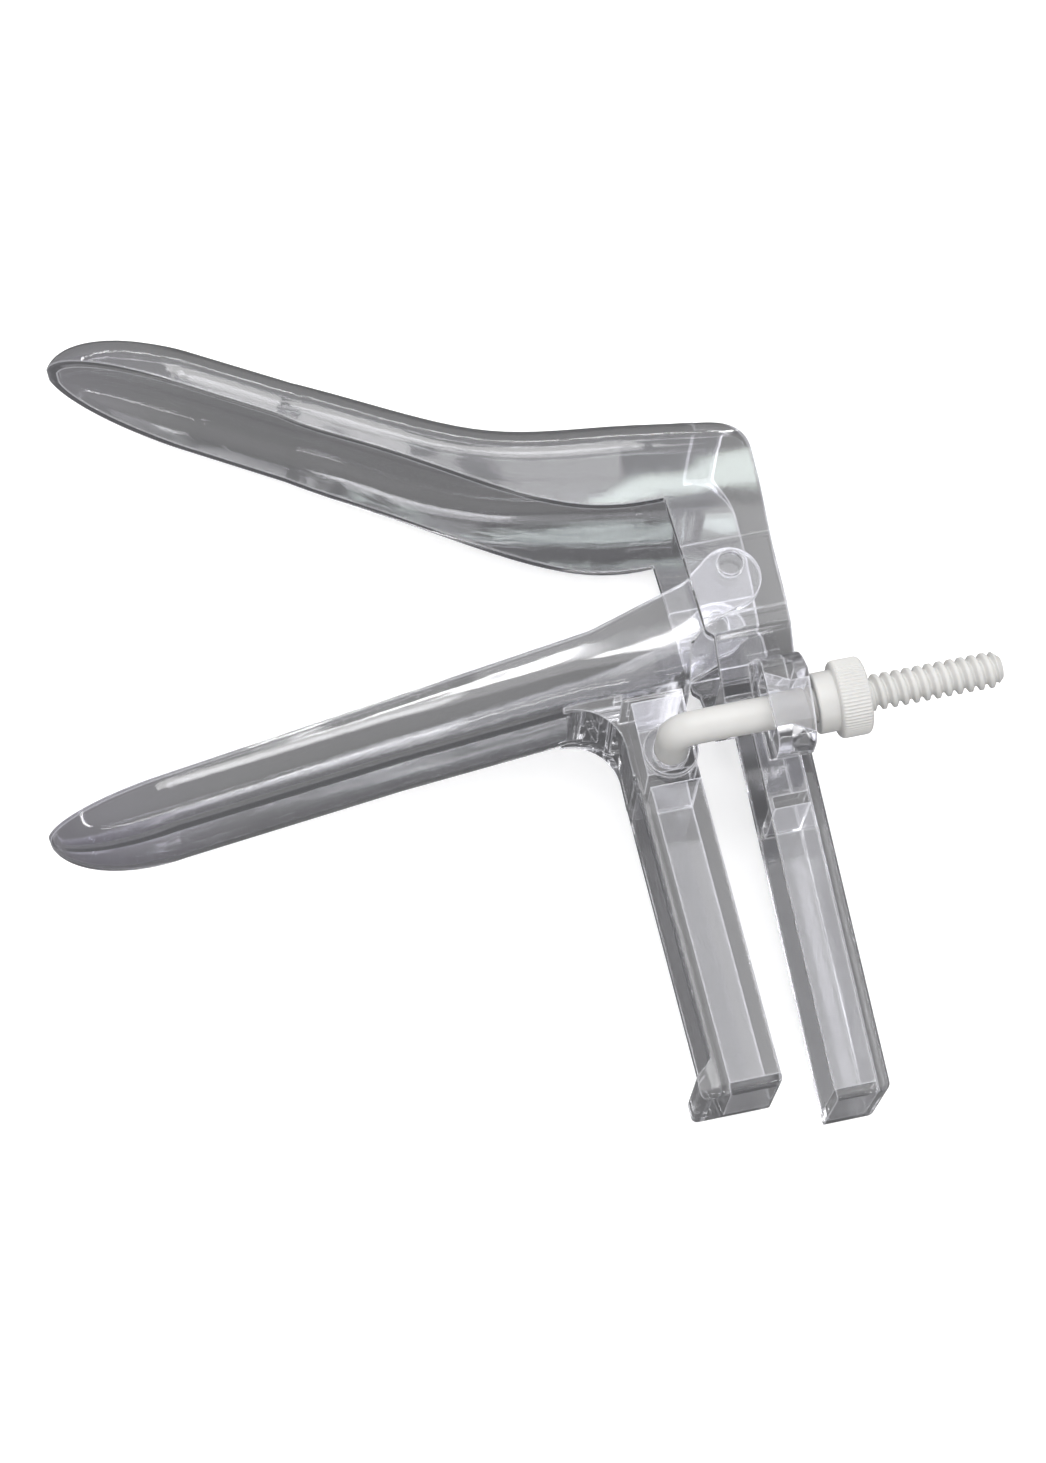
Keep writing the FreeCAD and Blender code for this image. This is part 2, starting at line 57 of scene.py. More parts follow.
# %% Camera
CAMERA_PLACE = np.array([-79.26, -169.73, 481.98]) * MM
CAMERA_RIGHT = (0.9782, -0.2068, 0.0205)
CAMERA_UP = (0.1893, 0.9273, 0.3228)
LENS = 74.73                # focal length for a sensor of the size below
SENSOR = 36
NEAREST = 0.01              # metres: nothing nearer to the lens is drawn


def link(obj):
    """Put an object into the scene and give it back."""
    bpy.context.scene.collection.objects.link(obj)
    return obj


def unit(v):
    """v / |v|."""
    v = np.asarray(v, float)
    return v / np.linalg.norm(v, axis=-1, keepdims=True)


def aim(obj, place, right, up):
    """Place an object so that its own X and Y axes are the right and up directions.

    Its Z axis is right x up, and Y is turned to Z x X, so up may lean a little.
    """
    x = unit(right)
    z = unit(np.cross(x, up))
    y = np.cross(z, x)
    m = np.eye(4)
    m[:3, 0], m[:3, 1], m[:3, 2], m[:3, 3] = x, y, z, place
    obj.matrix_world = Matrix(m.tolist())


camera_data = bpy.data.cameras.new("camera")
camera_data.sensor_fit = "VERTICAL"
camera_data.sensor_width = SENSOR
camera_data.sensor_height = SENSOR
camera_data.lens = LENS
camera_data.clip_start = NEAREST
camera = link(bpy.data.objects.new("camera", camera_data))
aim(camera, CAMERA_PLACE, CAMERA_RIGHT, CAMERA_UP)
bpy.context.scene.camera = camera
print("camera height above the table, mm:", round(camera.location.z / MM))

# %% [markdown]
# ## The table
# Every new surface in this lesson is a grid of points: an array with rows, columns and
# three coordinates. Joining neighbours makes quads, and wrapping a side onto itself
# makes a tube or a ring. The table is the smallest grid there is, two by two, and it
# lies a hair below the object so that the two never share a plane.

# %% Table
FLOOR_HALF = 6.0            # metres: wide enough to fill the view from low angles
FLOOR_DROP = 0.2 * MM


def grid_piece(name, points, wrap_u=False, wrap_v=False, caps=False):
    """A mesh from a grid of points: quads join each point to the next along both ways.

    points has the shape (rows, columns, 3). wrap_u joins the last row to the first and
    wrap_v the last column to the first. caps closes the first and last row with a face.
    """
    rows, columns = points.shape[:2]
    index = np.arange(rows * columns).reshape(rows, columns)
    if wrap_u:
        index = np.concatenate([index, index[:1]], axis=0)
    if wrap_v:
        index = np.concatenate([index, index[:, :1]], axis=1)
    quads = np.stack([index[:-1, :-1], index[1:, :-1], index[1:, 1:], index[:-1, 1:]], axis=-1)
    faces = quads.reshape(-1, 4).tolist()
    if caps:
        faces.append(index[0, :columns].tolist())
        faces.append(index[rows - 1, :columns][::-1].tolist())
    mesh = bpy.data.meshes.new(name)
    mesh.from_pydata(points.reshape(-1, 3).tolist(), [], faces)
    mesh.validate()
    mesh.polygons.foreach_set("use_smooth", np.ones(len(mesh.polygons), bool))
    return link(bpy.data.objects.new(name, mesh))


corner = np.array([-FLOOR_HALF, FLOOR_HALF])
floor_points = np.stack(np.meshgrid(corner, corner, [-FLOOR_DROP], indexing="ij"), axis=-1)[:, :, 0]
table = grid_piece("table", floor_points)
print("table side, m:", 2 * FLOOR_HALF)

# %% [markdown]
# ## Building with nodes
# A material is a small graph. Three helpers keep the graphs short to write: one opens
# an empty material, one adds a node and either links or sets each of its inputs, and
# one mixes two colours. The colour sockets of a Mix node are reached by number, because
# it keeps hidden sockets with the same names for numbers and for vectors.

# %% Node helpers
MIX_FIRST, MIX_SECOND, MIX_RESULT = 6, 7, 2


def new_material(name):
    """An empty node material with its Principled shader and its output joined."""
    material = bpy.data.materials.new(name)
    material.use_nodes = True
    tree = material.node_tree
    tree.nodes.clear()
    shader = tree.nodes.new("ShaderNodeBsdfPrincipled")
    output = tree.nodes.new("ShaderNodeOutputMaterial")
    tree.links.new(shader.outputs["BSDF"], output.inputs["Surface"])
    return material, tree, shader


def add(tree, kind, values=None, **settings):
    """A node of a kind with its settings and the values or links of its inputs."""
    node = tree.nodes.new(kind)
    for key, value in settings.items():
        setattr(node, key, value)
    for key, value in (values or {}).items():
        if isinstance(value, bpy.types.NodeSocket):
            tree.links.new(value, node.inputs[key])
        else:
            node.inputs[key].default_value = value
    return node


def mix_colours(tree, factor, first, second, blend="MIX"):
    """first * (1 - factor) + second * factor, or with another blend, as a colour."""
    values = {"Factor": factor, MIX_FIRST: first, MIX_SECOND: second}
    return add(tree, "ShaderNodeMix", values, data_type="RGBA", blend_type=blend).outputs[MIX_RESULT]


print("colour sockets of a Mix node:", MIX_FIRST, MIX_SECOND, "to", MIX_RESULT)

# %% [markdown]
# ## The table's finish
# Clear plastic photographed on a white table would almost vanish. In the photograph it
# stands out in grey, as it does over a grey cloth, while the page around it is white.
# The table here does both: a ray that comes straight from the camera finds it white,
# and a ray that was bent or mirrored on its way finds it grey. It also glows a little,
# like a light table, so the shadows stay faint.

# %% Table finish
TABLE_WHITE = 0.90          # seen straight
TABLE_GREY = 0.175          # seen through plastic or mirrored in it
WHITE_DRIFT = 0.02
GREY_DRIFT = 0.03
TABLE_LIFT = 0.38           # its own glow towards the camera
CLOUD_SCALE = 3.0
TABLE_ROUGHNESS = 0.7
TABLE_SHINE = 0.1

table_finish, tree, shader = new_material("table_white")
where = add(tree, "ShaderNodeTexCoord").outputs["Object"]
cloudy = add(
    tree, "ShaderNodeTexNoise",
    {"Vector": where, "Scale": CLOUD_SCALE, "Detail": 2.0},
).outputs["Fac"]
white_part = add(
    tree, "ShaderNodeMapRange",
    {"Value": cloudy, "To Min": TABLE_WHITE - WHITE_DRIFT, "To Max": TABLE_WHITE + WHITE_DRIFT},
).outputs["Result"]
grey_part = add(
    tree, "ShaderNodeMapRange",
    {"Value": cloudy, "To Min": TABLE_GREY - GREY_DRIFT, "To Max": TABLE_GREY + GREY_DRIFT},
).outputs["Result"]
direct = add(tree, "ShaderNodeLightPath").outputs["Is Camera Ray"]
tone = add(tree, "ShaderNodeMix", {"Factor": direct, "A": grey_part, "B": white_part})
tree.links.new(tone.outputs["Result"], shader.inputs["Base Color"])
lift = add(tree, "ShaderNodeMath", {0: direct, 1: TABLE_LIFT}, operation="MULTIPLY")
tree.links.new(lift.outputs["Value"], shader.inputs["Emission Strength"])
shader.inputs["Emission Color"].default_value = (1, 1, 1, 1)
shader.inputs["Roughness"].default_value = TABLE_ROUGHNESS
shader.inputs["Specular IOR Level"].default_value = TABLE_SHINE
table.data.materials.append(table_finish)
print("table nodes:", len(tree.nodes))

# %% [markdown]
# ## The room
# The room is dim near the horizon and light overhead, so walls that face sideways read
# darker than walls that face up. Seen straight by the camera it is white, and low
# views of the object have the same white page behind it as the photograph has.

# %% Room
ROOM_LOW = 0.26
ROOM_HIGH = 0.92
ROOM_TOP = 0.9              # height, as the sine of the angle, where ROOM_HIGH is reached
ROOM_SEEN = 1.0

world = bpy.data.worlds.new("room")
bpy.context.scene.world = world
world.use_nodes = True
tree = world.node_tree
tree.nodes.clear()
where = add(tree, "ShaderNodeTexCoord").outputs["Generated"]
height = add(tree, "ShaderNodeSeparateXYZ", {"Vector": where}).outputs["Z"]
glow = add(
    tree, "ShaderNodeMapRange",
    {"Value": height, "From Min": 0.0, "From Max": ROOM_TOP, "To Min": ROOM_LOW, "To Max": ROOM_HIGH},
    interpolation_type="SMOOTHSTEP",
).outputs["Result"]
direct = add(tree, "ShaderNodeLightPath").outputs["Is Camera Ray"]
pale = add(tree, "ShaderNodeMix", {"Factor": direct, "A": glow, "B": ROOM_SEEN}).outputs["Result"]
background = add(tree, "ShaderNodeBackground", {"Color": (1, 1, 1, 1), "Strength": pale})
add(tree, "ShaderNodeOutputWorld", {"Surface": background.outputs["Background"]})
bpy.context.scene.view_settings.view_transform = "Standard"
print("room brightness from", ROOM_LOW, "to", ROOM_HIGH)

# %% [markdown]
# ## Soft boxes
# Clear plastic is drawn by what it mirrors. A wall that faces up mirrors one patch of
# the ceiling, so each pale streak of the photograph asks for a lamp at one place:
# where a ray from the camera goes after it bounces off the wall there. Seven lamps hang
# overhead by that rule, given by brightness, because a mirror shows brightness and not
# power. Four thin strips stand round the object and line its upright edges.

# %% Soft boxes
ABOVE = 0.95                # height of the lamps overhead, metres
HIGHER = 0.03               # large lamps hang this much above the small ones in front of them
COOL = (0.90, 1.0, 0.95)


def soft_box(name, place, right, up, width, length, watts, colour=(1, 1, 1)):
    """A rectangular light that shines along the negative of its own Z axis.

    Its brightness is watts / (pi * width * length).
    """
    data = bpy.data.lights.new(name, "AREA")
    data.shape = "RECTANGLE"
    data.size = width
    data.size_y = length
    data.energy = watts
    data.color = colour
    lamp = link(bpy.data.objects.new(name, data))
    aim(lamp, place, right, up)
    print(name, "brightness:", round(watts / (math.pi * width * length), 1))


def lamp_at(name, x, y, width, length, brightness, lean=0.0, raised=0.0, colour=(1, 1, 1)):
    """A level soft box overhead, turned by lean: watts = brightness * pi * its area."""
    right = (math.cos(lean), math.sin(lean), 0)
    up = (-right[1], right[0], 0)
    watts = brightness * math.pi * width * length
    soft_box(name, (x, y, ABOVE + raised), right, up, width, length, watts, colour)


lamp_at("box_wide", 0.33, 0.140, 0.60, 0.49, 1.25, raised=HIGHER)
lamp_at("lamp_long", 0.0775, 0.394, 0.275, 0.016, 6.5, colour=COOL)
lamp_at("lamp_thin", 0.03, 0.307, 0.23, 0.006, 22.0, lean=0.10)
lamp_at("box_left", -0.04, 0.12, 0.24, 0.26, 6.0, raised=HIGHER)
lamp_at("lamp_band", -0.02, 0.422, 0.14, 0.036, 1.9)
lamp_at("box_far", -0.045, 0.575, 0.09, 0.27, 3.2)
lamp_at("box_back", 0.07, 0.90, 0.28, 0.50, 5.0, raised=HIGHER)
soft_box("strip_front", (-0.05, -0.80, 0.35), (1, 0, 0), (0, 0.4, 0.92), 1.4, 0.025, 2.0)
soft_box("strip_behind", (-0.05, 0.90, 0.30), (-1, 0, 0), (0, -0.3, 0.95), 1.4, 0.025, 1.8)
soft_box("strip_left", (-0.90, -0.05, 0.40), (0, -1, 0), (0.4, 0, 0.92), 1.0, 0.025, 1.3)
soft_box("strip_right", (0.85, 0.05, 0.40), (0, 1, 0), (-0.4, 0, 0.92), 1.0, 0.025, 1.3)

# %% [markdown]
# ## Shared effects
# An effect that more than one finish could use is worth a node group with a plain name.
# The first is the slow wave that a mould and cooling plastic leave in a wall: a large
# soft noise, turned into a normal by a Bump node. Its depth is given in metres.

# %% Slow waves of the mould
WAVE_SCALE = 70.0           # waves per metre, about one per 14 mm


def new_group(name, inputs, outputs):
    """An empty node group: inputs are (name, kind, value), outputs are (name, kind)."""
    group = bpy.data.node_groups.new(name, "ShaderNodeTree")
    for label, kind, value in inputs:
        socket = group.interface.new_socket(label, in_out="INPUT", socket_type=kind)
        if value is not None:
            socket.default_value = value
    for label, kind in outputs:
        group.interface.new_socket(label, in_out="OUTPUT", socket_type=kind)
    given = group.nodes.new("NodeGroupInput").outputs
    result = group.nodes.new("NodeGroupOutput").inputs
    return group, given, result


def use(tree, group, values):
    """The outputs of a shared effect placed inside a material."""
    return add(tree, "ShaderNodeGroup", values, node_tree=group).outputs


moulded_waves, given, result = new_group(
    "moulded_waves",
    [("Vector", "NodeSocketVector", None), ("Normal", "NodeSocketVector", None),
     ("Depth", "NodeSocketFloat", 0.1 * MM)],
    [("Normal", "NodeSocketVector")],
)
slow = add(
    moulded_waves, "ShaderNodeTexNoise",
    {"Vector": given["Vector"], "Scale": WAVE_SCALE, "Detail": 1.0},
)
bent = add(
    moulded_waves, "ShaderNodeBump",
    {"Height": slow.outputs["Fac"], "Distance": given["Depth"], "Strength": 1.0,
     "Normal": given["Normal"]},
)
moulded_waves.links.new(bent.outputs["Normal"], result["Normal"])
print("waves nodes:", len(moulded_waves.nodes))

# %% [markdown]
# Hairlines are a noise stretched hard along one direction, of which only the peaks are
# kept. A second, slow noise pushes the stretched one sideways, so that the lines wander
# and don't run on as straight as rules.

# %% Hairline scratches
DRIFT_SCALE = 25.0
DRIFT_REACH = (0.0, 0.006, 0.006)
HAIR_STRETCH = (22.0, 1500.0, 1500.0)
HAIR_FROM = 0.68
HAIR_TO = 0.80

hairlines, given, result = new_group(
    "hairlines",
    [("Vector", "NodeSocketVector", None), ("Angle", "NodeSocketFloat", 0.0)],
    [("Mask", "NodeSocketFloat")],
)
turned = add(
    hairlines, "ShaderNodeVectorRotate",
    {"Vector": given["Vector"], "Angle": given["Angle"]}, rotation_type="Z_AXIS",
).outputs["Vector"]
drift = add(hairlines, "ShaderNodeTexNoise", {"Vector": turned, "Scale": DRIFT_SCALE, "Detail": 0.0})
offset = add(
    hairlines, "ShaderNodeVectorMath",
    {0: drift.outputs["Color"], 1: DRIFT_REACH}, operation="MULTIPLY",
).outputs["Vector"]
moved = add(hairlines, "ShaderNodeVectorMath", {0: turned, 1: offset}, operation="ADD").outputs["Vector"]
drawn = add(
    hairlines, "ShaderNodeVectorMath", {0: moved, 1: HAIR_STRETCH}, operation="MULTIPLY",
).outputs["Vector"]
grain = add(hairlines, "ShaderNodeTexNoise", {"Vector": drawn, "Scale": 1.0, "Detail": 1.0})
thin = add(
    hairlines, "ShaderNodeMapRange",
    {"Value": grain.outputs["Fac"], "From Min": HAIR_FROM, "From Max": HAIR_TO},
)
hairlines.links.new(thin.outputs["Result"], result["Mask"])
print("hairline nodes:", len(hairlines.nodes))

# %% [markdown]
# The last effect keeps an even colour or gloss from looking painted: a fine noise that
# moves a value a little between a low and a high end.

# %% Mottle
SPOT_SCALE = 220.0
SPOT_FROM = 0.3
SPOT_TO = 0.7

mottle, given, result = new_group(
    "mottle",
    [("Vector", "NodeSocketVector", None), ("Low", "NodeSocketFloat", 0.0),
     ("High", "NodeSocketFloat", 1.0)],
    [("Value", "NodeSocketFloat")],
)
spots = add(mottle, "ShaderNodeTexNoise", {"Vector": given["Vector"], "Scale": SPOT_SCALE, "Detail": 3.0})
level = add(
    mottle, "ShaderNodeMapRange",
    {"Value": spots.outputs["Fac"], "From Min": SPOT_FROM, "From Max": SPOT_TO,
     "To Min": given["Low"], "To Max": given["High"]},
)
mottle.links.new(level.outputs["Result"], result["Value"])
print("mottle nodes:", len(mottle.nodes))

# %% [markdown]
# ## Clear plastic
# Disposable instruments like this one are moulded in clear polystyrene: hard, glossy,
# a little brittle, and slightly violet where there is much of it to look through, as
# at the tips. The tint follows the X coordinate, along which the blades run.

# %% Clear plastic: tint
CLEAR_TINT = (0.93, 0.93, 0.955, 1)
VIOLET_TINT = (0.86, 0.84, 0.93, 1)
TIP_FROM = -0.085
TIP_TO = -0.115
CLEAR_IOR = 1.55

clear, tree, shader = new_material("clear_plastic")
where = add(tree, "ShaderNodeTexCoord").outputs["Object"]
axes = add(tree, "ShaderNodeSeparateXYZ", {"Vector": where}).outputs
along, across = axes["X"], axes["Y"]
near_tip = add(
    tree, "ShaderNodeMapRange", {"Value": along, "From Min": TIP_FROM, "From Max": TIP_TO},
).outputs["Result"]
tint = mix_colours(tree, near_tip, CLEAR_TINT, VIOLET_TINT)
tree.links.new(tint, shader.inputs["Base Color"])
shader.inputs["Metallic"].default_value = 0.0
shader.inputs["Transmission Weight"].default_value = 1.0
shader.inputs["IOR"].default_value = CLEAR_IOR
print("the tint turns violet over, mm:", round((TIP_FROM - TIP_TO) / MM))

# %% [markdown]
# Handling leaves fine scratches along the blades. Each blade leans its own way, so the angle
# of the lines is chosen by the side of the hinge that a point lies on, and a mask keeps
# them on the blades. They only make the gloss a little rougher.

# %% Clear plastic: scratches
UPPER_LEAN = math.radians(30.2)
LOWER_LEAN = math.radians(8.2)
HALF_SEAM = 0.001           # the lean changes over this much on either side of the hinge
BLADE_FROM = -0.008
BLADE_TO = -0.030
GLOSS = 0.03
SCRATCHED_GLOSS = 0.10

lean = add(
    tree, "ShaderNodeMapRange",
    {"Value": across, "From Min": -HALF_SEAM, "From Max": HALF_SEAM,
     "To Min": -LOWER_LEAN, "To Max": UPPER_LEAN},
).outputs["Result"]
on_blade = add(
    tree, "ShaderNodeMapRange", {"Value": along, "From Min": BLADE_FROM, "From Max": BLADE_TO},
).outputs["Result"]
lines = use(tree, hairlines, {"Vector": where, "Angle": lean})["Mask"]
scratch = add(tree, "ShaderNodeMath", {0: lines, 1: on_blade}, operation="MULTIPLY").outputs["Value"]
gloss = add(
    tree, "ShaderNodeMapRange", {"Value": scratch, "To Min": GLOSS, "To Max": SCRATCHED_GLOSS},
)
tree.links.new(gloss.outputs["Result"], shader.inputs["Roughness"])
print("roughness from", GLOSS, "to", SCRATCHED_GLOSS)

# %% [markdown]
# A real mould leaves no razor edges, so the Bevel node rounds every corner for the
# light. On top of that come the slow waves, and along the blades the faint flow lines
# that the plastic drew as it ran down the mould.

# %% Clear plastic: surface
EDGE_ROUND = 0.5 * MM
WAVE_DEPTH = 0.04 * MM
FLOW_DEPTH = 0.018 * MM
FLOW_STRETCH = (6.0, 280.0, 280.0)

bevel = add(tree, "ShaderNodeBevel", {"Radius": EDGE_ROUND}, samples=4).outputs["Normal"]
waves = use(tree, moulded_waves, {"Vector": where, "Normal": bevel, "Depth": WAVE_DEPTH})["Normal"]
turned = add(
    tree, "ShaderNodeVectorRotate", {"Vector": where, "Angle": lean}, rotation_type="Z_AXIS",
).outputs["Vector"]
drawn = add(
    tree, "ShaderNodeVectorMath", {0: turned, 1: FLOW_STRETCH}, operation="MULTIPLY",
).outputs["Vector"]
flow = add(tree, "ShaderNodeTexNoise", {"Vector": drawn, "Scale": 1.0, "Detail": 1.5}).outputs["Fac"]
flow_depth = add(
    tree, "ShaderNodeMath", {0: on_blade, 1: FLOW_DEPTH}, operation="MULTIPLY",
).outputs["Value"]
flowed = add(
    tree, "ShaderNodeBump",
    {"Height": flow, "Distance": flow_depth, "Strength": 1.0, "Normal": waves},
)
tree.links.new(flowed.outputs["Normal"], shader.inputs["Normal"])
print("edges rounded by, mm:", EDGE_ROUND / MM)

# %% [markdown]
# Inside clear walls a ray can bounce on and on. A renderer stops it after some bounces
# and paints it black, where the real one still brings light out. So a ray that has
# bounced often finds a dim painted glow in its place. The rounded edges get a painted
# highlight as well: where the bevelled normal turns away from the face's own one, the
# plastic glows a little lighter.

# %% Clear plastic: painted glow for trapped light and edge highlights
TRAPPED_GLOW = 0.22
TRAPPED_FROM = 4.0          # bounces
TRAPPED_TO = 10.0
PAINTED_EDGE_HIGHLIGHT = 0.38
EDGE_FROM = 0.98            # cosine between the bevelled and the plain normal
EDGE_TO = 0.85

# A painted glow for rays that have bounced many times, in place of the light they would still bring out.
bounces = add(tree, "ShaderNodeLightPath").outputs["Ray Depth"]
trapped_glow = add(
    tree, "ShaderNodeMapRange",
    {"Value": bounces, "From Min": TRAPPED_FROM, "From Max": TRAPPED_TO, "To Max": TRAPPED_GLOW},
).outputs["Result"]
# A painted highlight on the rounded edges: the plastic glows where the bevelled normal turns from the
# plain one.
plain = add(tree, "ShaderNodeNewGeometry").outputs["Normal"]
same = add(tree, "ShaderNodeVectorMath", {0: bevel, 1: plain}, operation="DOT_PRODUCT").outputs["Value"]
painted_edge_highlight = add(
    tree, "ShaderNodeMapRange",
    {"Value": same, "From Min": EDGE_FROM, "From Max": EDGE_TO, "To Max": PAINTED_EDGE_HIGHLIGHT},
).outputs["Result"]
glow = add(tree, "ShaderNodeMath", {0: trapped_glow, 1: painted_edge_highlight}, operation="ADD")
tree.links.new(glow.outputs["Value"], shader.inputs["Emission Strength"])
# The colour of both painted glows, the trapped one and the edge highlight.
shader.inputs["Emission Color"].default_value = (0.95, 0.95, 1.0, 1)
print("clear plastic nodes:", len(tree.nodes))

# %% [markdown]
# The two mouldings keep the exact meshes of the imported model. They only get the new
# material in each of their slots.

# %% Dress the two mouldings
for name in ("lower_blade_front_handle", "upper_blade_rear_handle"):
    for slot in nodes[name].material_slots:
        slot.material = clear
    print(name, "slots:", len(nodes[name].material_slots))

# %% [markdown]
# ## White plastic
# The rod and the nut are moulded in a white plastic that lets a little light in under
# its skin. That softens its shadows and makes it look faintly warm.

# %% White plastic
WHITE_LOW, WHITE_HIGH = 0.655, 0.685
MATT_LOW, MATT_HIGH = 0.36, 0.46
WARMTH = (1.0, 0.99, 0.97, 1)
WHITE_WAVE_DEPTH = 0.05 * MM
SKIN_WEIGHT = 0.2
SKIN_REACH = (0.002, 0.0016, 0.0012)

white, tree, shader = new_material("white_plastic")
where = add(tree, "ShaderNodeTexCoord").outputs["Object"]
tone = use(tree, mottle, {"Vector": where, "Low": WHITE_LOW, "High": WHITE_HIGH})["Value"]
even = add(tree, "ShaderNodeCombineColor", {"Red": tone, "Green": tone, "Blue": tone}).outputs["Color"]
tree.links.new(mix_colours(tree, 1.0, even, WARMTH, blend="MULTIPLY"), shader.inputs["Base Color"])
matt = use(tree, mottle, {"Vector": where, "Low": MATT_LOW, "High": MATT_HIGH})["Value"]
tree.links.new(matt, shader.inputs["Roughness"])
waves = use(tree, moulded_waves, {"Vector": where, "Depth": WHITE_WAVE_DEPTH})["Normal"]
tree.links.new(waves, shader.inputs["Normal"])
shader.inputs["Subsurface Weight"].default_value = SKIN_WEIGHT
shader.inputs["Subsurface Radius"].default_value = SKIN_REACH
print("white plastic nodes:", len(tree.nodes))

# %% [markdown]
# ## The threaded rod
# The rod is a straight bar with a hooked end. A piece like this is a ring of points
# carried along a path. The path comes first: up the hook, round a tight quarter turn,
# and out along X. Where nothing happens the steps along it are long, and in the thread
# there are twenty to each pitch. Sizes are in millimetres.

# %% The rod's path
ROD_Y = -27.2
SHANK_Z = 35.4              # height of the straight part's axis
HOOK_X = -15.6
HOOK_FOOT = 20.0            # height of the hook's free end
TURN_R = 3.2                # radius of the quarter turn along the axis
ROD_TIP = 36.9
THREAD_START = 4.6
PITCH = 1.75
STEPS = 20                  # rings per pitch


def rod_path():
    """Distance s, x, z and the angle bent so far, for every ring.

    The angle is (s - rise) / TURN_R, held between 0 and a quarter turn.
    """
    rise = SHANK_Z - TURN_R - HOOK_FOOT
    quarter = TURN_R * math.pi / 2
    start_x = HOOK_X + TURN_R
    run = ROD_TIP - start_x
    thread_s = rise + quarter + THREAD_START - start_x
    total = rise + quarter + run
    s = np.concatenate([
        [0.0, 0.15, 0.4],                                       # the bevel of the hook's end
        np.linspace(1.0, rise, 8),                              # the hook
        rise + quarter * np.linspace(0.06, 1, 16),              # the quarter turn
        np.linspace(rise + quarter + 1, thread_s - 0.5, 10),    # the smooth shank
        np.arange(thread_s, total - 0.05, PITCH / STEPS),       # the thread
        [total],
    ])
    bend = np.clip((s - rise) / TURN_R, 0, math.pi / 2)
    straight = np.clip(s - rise - quarter, 0, None)
    x = HOOK_X + TURN_R * (1 - np.cos(bend)) + straight
    z = HOOK_FOOT + np.minimum(s, rise) + TURN_R * np.sin(bend)
    return s, x, z, bend


print("rings along the rod:", len(rod_path()[0]))

# %% [markdown]
# The thread is a ring with a radius that changes with the distance travelled minus the
# share of a turn, and that difference is what makes a helix. It fades in from the
# smooth shank, and both ends of the rod are bevelled by holding the radius down.

# %% Rod
ROD_R = 2.7
CREST_R = 2.88
ROOT_R = 2.1
FLANK = 0.34                # share of the pitch that a flank takes
GROOVE_FLAT = 0.12          # widens the floor of the groove
FADE = 1.2                  # the thread grows to its full depth over this much
END_BEVEL = 0.35
TIP_SLOPE = 0.9
COLUMNS = 72                # points round a ring


def smooth(t):
    """0 below t = 0, 1 above t = 1, and t * t * (3 - 2 * t) between."""
    t = np.clip(t, 0, 1)
    return t * t * (3 - 2 * t)


def thread_share(x, turn):
    """1 on a crest and 0 in a groove, with phase = x / PITCH - turn, once per pitch."""
    phase = np.mod(x / PITCH - turn, 1.0)
    return smooth((0.5 - np.abs(phase - 0.5)) / FLANK - GROOVE_FLAT)


def rod_surface():
    """centre(s) + r * (cos a * side + sin a * up): a ring of radius r along the path s."""
    s, x, z, bend = rod_path()
    turn = np.arange(COLUMNS) / COLUMNS
    angle = 2 * math.pi * turn
    share = thread_share(x[:, None], turn[None, :])
    fade = smooth((x[:, None] - THREAD_START) / FADE)
    radius = ROD_R * (1 - fade) + fade * (ROOT_R + (CREST_R - ROOT_R) * share)
    radius = np.minimum(radius, ROD_R - END_BEVEL + s[:, None])
    radius = np.minimum(radius, ROOT_R - END_BEVEL + (ROD_TIP - x[:, None]) * TIP_SLOPE)
    side = np.array([0.0, 1.0, 0.0])
    up = np.stack([-np.cos(bend), 0 * bend, np.sin(bend)], axis=-1)
    centre = np.stack([x, np.full_like(x, ROD_Y), z], axis=-1)
    ring = np.cos(angle)[None, :, None] * side + np.sin(angle)[None, :, None] * up[:, None, :]
    return (centre[:, None, :] + radius[..., None] * ring) * MM


threaded_rod = grid_piece("threaded_rod", rod_surface(), wrap_v=True, caps=True)
threaded_rod.data.materials.append(white)
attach(threaded_rod, "rod")
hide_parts("screw_rod")
print("turns of thread:", round((ROD_TIP - THREAD_START) / PITCH, 1))
print(threaded_rod.name, "triangles:", 2 * len(threaded_rod.data.polygons))

# %% [markdown]
# ## The ridged nut
# A nut that fingers turn has a smooth hub and a wider head with fine grooves. Cut
# through along its axis, it is one closed profile of (x, r) points: the hub, the step,
# the head with rounded shoulders, and the bore back to the start.

# %% The nut's profile
NUT_START = 6.65
STEP_X = 9.85               # where the hub meets the head
NUT_END = 14.85
HUB_R = 4.85
KNOB_R = 6.2
BORE_R = 3.0
HUB_ROUND = 0.4
NECK_ROUND = 0.2
KNOB_ROUND = 0.8


def rounded(x, r, x1, r1, bow, count=7):
    """A quarter turn from (x, r) to (x1, r1): bow is 1 to leave along x, 0 along r."""
    t = np.linspace(0, math.pi / 2, count)
    a, b = (np.sin(t), 1 - np.cos(t)) if bow else (1 - np.cos(t), np.sin(t))
    return np.stack([x + (x1 - x) * a, r + (r1 - r) * b], axis=-1)


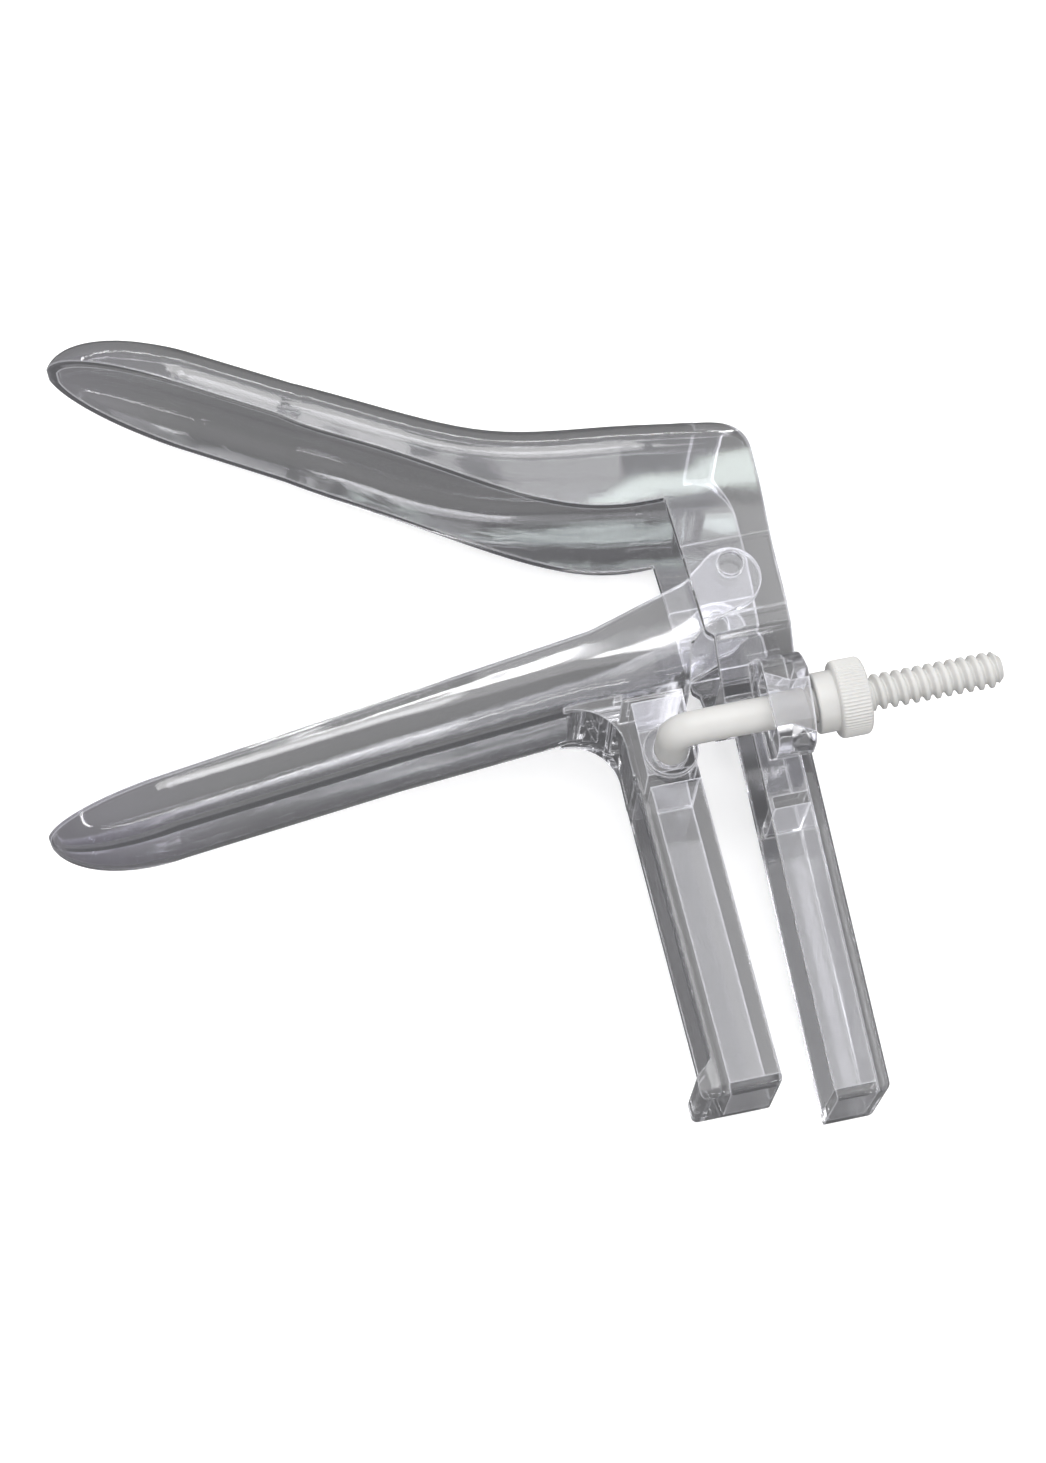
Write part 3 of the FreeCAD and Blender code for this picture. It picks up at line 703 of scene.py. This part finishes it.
def nut_profile():
    """The closed profile, from the bore's near end over the hub and the head and back."""
    grip_x = np.linspace(STEP_X + 1.0, NUT_END - 1.0, 8)
    return np.concatenate([
        [[NUT_START, BORE_R + 0.15]],
        rounded(NUT_START, HUB_R - HUB_ROUND, NUT_START + HUB_ROUND, HUB_R, 0),
        [[STEP_X - NECK_ROUND - 0.05, HUB_R]],
        rounded(STEP_X - NECK_ROUND, HUB_R, STEP_X, HUB_R + NECK_ROUND, 1, 5),
        rounded(STEP_X, KNOB_R - KNOB_ROUND, STEP_X + KNOB_ROUND, KNOB_R, 0),
        np.stack([grip_x, np.full_like(grip_x, KNOB_R)], axis=-1),
        rounded(NUT_END - KNOB_ROUND, KNOB_R, NUT_END, KNOB_R - KNOB_ROUND, 1),
        [[NUT_END, BORE_R + 0.35], [NUT_END - 0.3, BORE_R], [NUT_START + 0.2, BORE_R]],
    ])


print("points in the nut's profile:", len(nut_profile()))

# %% [markdown]
# Turning the profile about the rod's axis gives the nut, and lowering the radius of the
# head's wall a little once per groove gives the grip. The grooves fade out towards both
# shoulders, as they do when a mould is cut with a round tool.

# %% Nut
GROOVES = 66
PER_GROOVE = 8              # points round the nut per groove
GROOVE_DEPTH = 0.20
GROOVE_SHAPE = 0.8          # below 1 the ridges are narrower than the grooves
GRIP_INSET = 0.1
GRIP_FADE = 0.7
GRIP_R = HUB_R + 0.5        # only the head's wall lies outside this radius


def nut_surface():
    """(x, r cos a, r sin a), with r the profile less depth * (1/2 - cos(66 a)/2) ** 0.8."""
    count = GROOVES * PER_GROOVE
    angle = 2 * math.pi * np.arange(count) / count
    profile = nut_profile()
    x = profile[:, :1]
    r = profile[:, 1:]
    grip = smooth((x - STEP_X - GRIP_INSET) / GRIP_FADE) * smooth((NUT_END - GRIP_INSET - x) / GRIP_FADE)
    grip = grip * (r > GRIP_R)
    r = r - GROOVE_DEPTH * grip * (0.5 - 0.5 * np.cos(GROOVES * angle)) ** GROOVE_SHAPE
    x = x + 0 * angle
    return np.stack([x, ROD_Y + r * np.cos(angle), SHANK_Z + r * np.sin(angle)], axis=-1) * MM


ridged_nut = grid_piece("ridged_nut", nut_surface(), wrap_u=True, wrap_v=True)
ridged_nut.data.materials.append(white)
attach(ridged_nut, "nut")
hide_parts("knurled_nut")
print(ridged_nut.name, "triangles:", 2 * len(ridged_nut.data.polygons))
